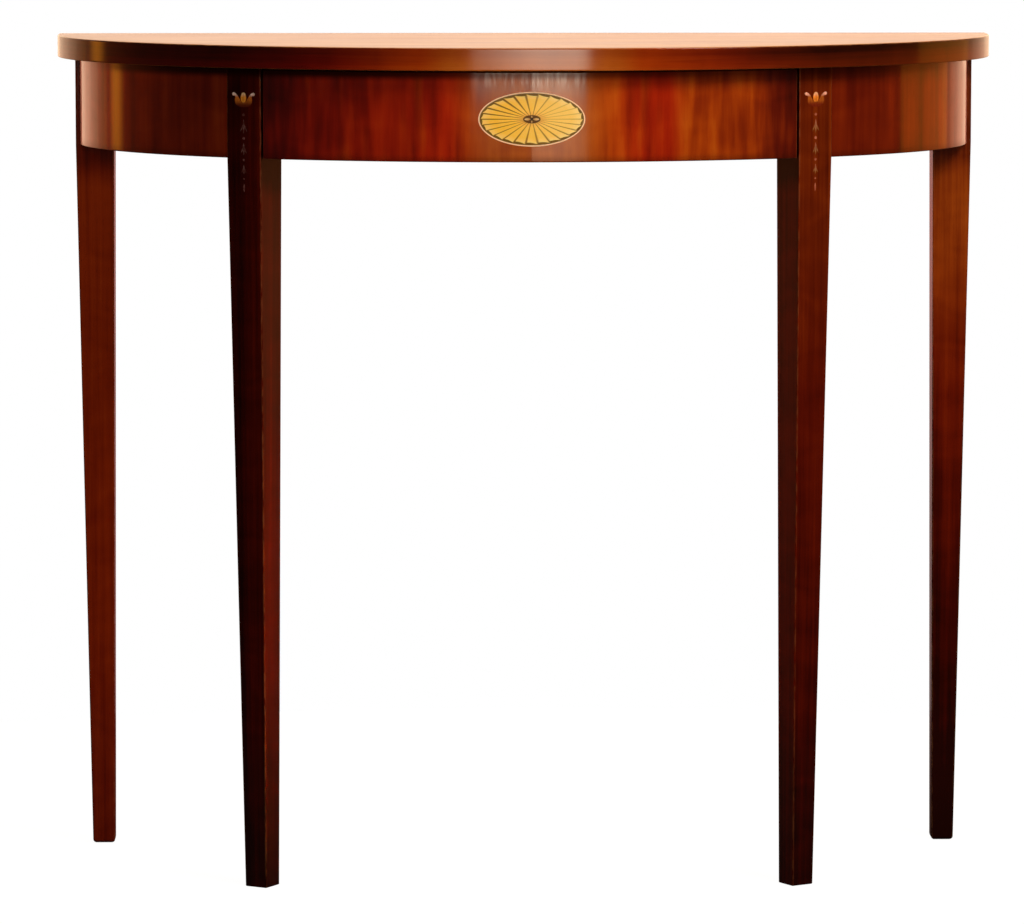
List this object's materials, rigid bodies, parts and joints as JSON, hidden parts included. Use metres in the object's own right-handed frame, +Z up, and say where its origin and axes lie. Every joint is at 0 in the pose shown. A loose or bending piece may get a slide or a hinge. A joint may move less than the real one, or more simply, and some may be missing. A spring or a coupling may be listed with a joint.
{
  "type": "demilune table",
  "caption": "Half-oval side table on square tapered legs, with a bow-fronted drawer in its veneered frieze and an inlaid oval fan.",
  "frame": {"origin": "on the floor, under the middle of the top's outline", "axes": "+X to the table's right as seen from the front, +Y to its straight back edge, +Z up"},
  "size_m": [0.866, 0.3559, 0.76],
  "materials": {
    "mahogany": "french-polished solid mahogany, glossy",
    "mahogany_veneer": "cross-grained mahogany veneer, french-polished",
    "deal": "unfinished softwood, planed",
    "drawer_lining": "waxed oak lining, fine grain",
    "boxwood": "pale boxwood line, polished flush",
    "satinwood": "gold satinwood, sand-shaded along one side",
    "dyed_ground": "green-dyed sycamore, polished flush",
    "eye_wood": "stained dark wood, polished flush",
    "tulip_wood": "orange-toned inlay, scorched at the foot",
    "husk_wood": "worn grey-tan inlay, toned down by old polish",
    "steel": "dull wood screws and pins"
  },
  "bodies": {
    "table": {"back_leg_left": "mahogany", "back_leg_right": "mahogany", "back_rail": "deal", "corner_brace_left": "deal", "corner_brace_right": "deal", "drawer_guide_left": "deal", "drawer_guide_right": "deal", "drawer_kicker_left": "deal", "drawer_kicker_right": "deal", "drawer_runner_left": "deal", "drawer_runner_right": "deal", "drawer_stop_left": "deal", "drawer_stop_right": "deal", "front_leg_left": "mahogany", "front_leg_right": "mahogany", "husk_inlay_left": "husk_wood", "husk_inlay_right": "husk_wood", "leg_glue_block_left": "deal", "leg_glue_block_right": "deal", "lower_tie_rail": "deal", "side_frieze_left": "deal", "side_frieze_right": "deal", "side_veneer_left": "mahogany_veneer", "side_veneer_right": "mahogany_veneer", "top_board": "mahogany", "top_screws": "steel", "tulip_inlay_left": "tulip_wood", "tulip_inlay_right": "tulip_wood", "upper_tie_rail": "deal"},
    "drawer": {"drawer_back": "drawer_lining", "drawer_bottom": "drawer_lining", "drawer_bottom_pins": "steel", "drawer_front": "deal", "drawer_side_left": "drawer_lining", "drawer_side_right": "drawer_lining", "drawer_veneer_left": "mahogany_veneer", "drawer_veneer_right": "mahogany_veneer", "fan_border": "boxwood", "fan_eye": "eye_wood", "fan_ground": "dyed_ground", "fan_petals": "satinwood", "fan_star": "boxwood"}
  },
  "joints": [
    {"name": "drawer_slide", "type": "slide", "parent": "table", "child": "drawer", "axis": [0, -1, 0], "range_m": [0, 0.15]}
  ]
}
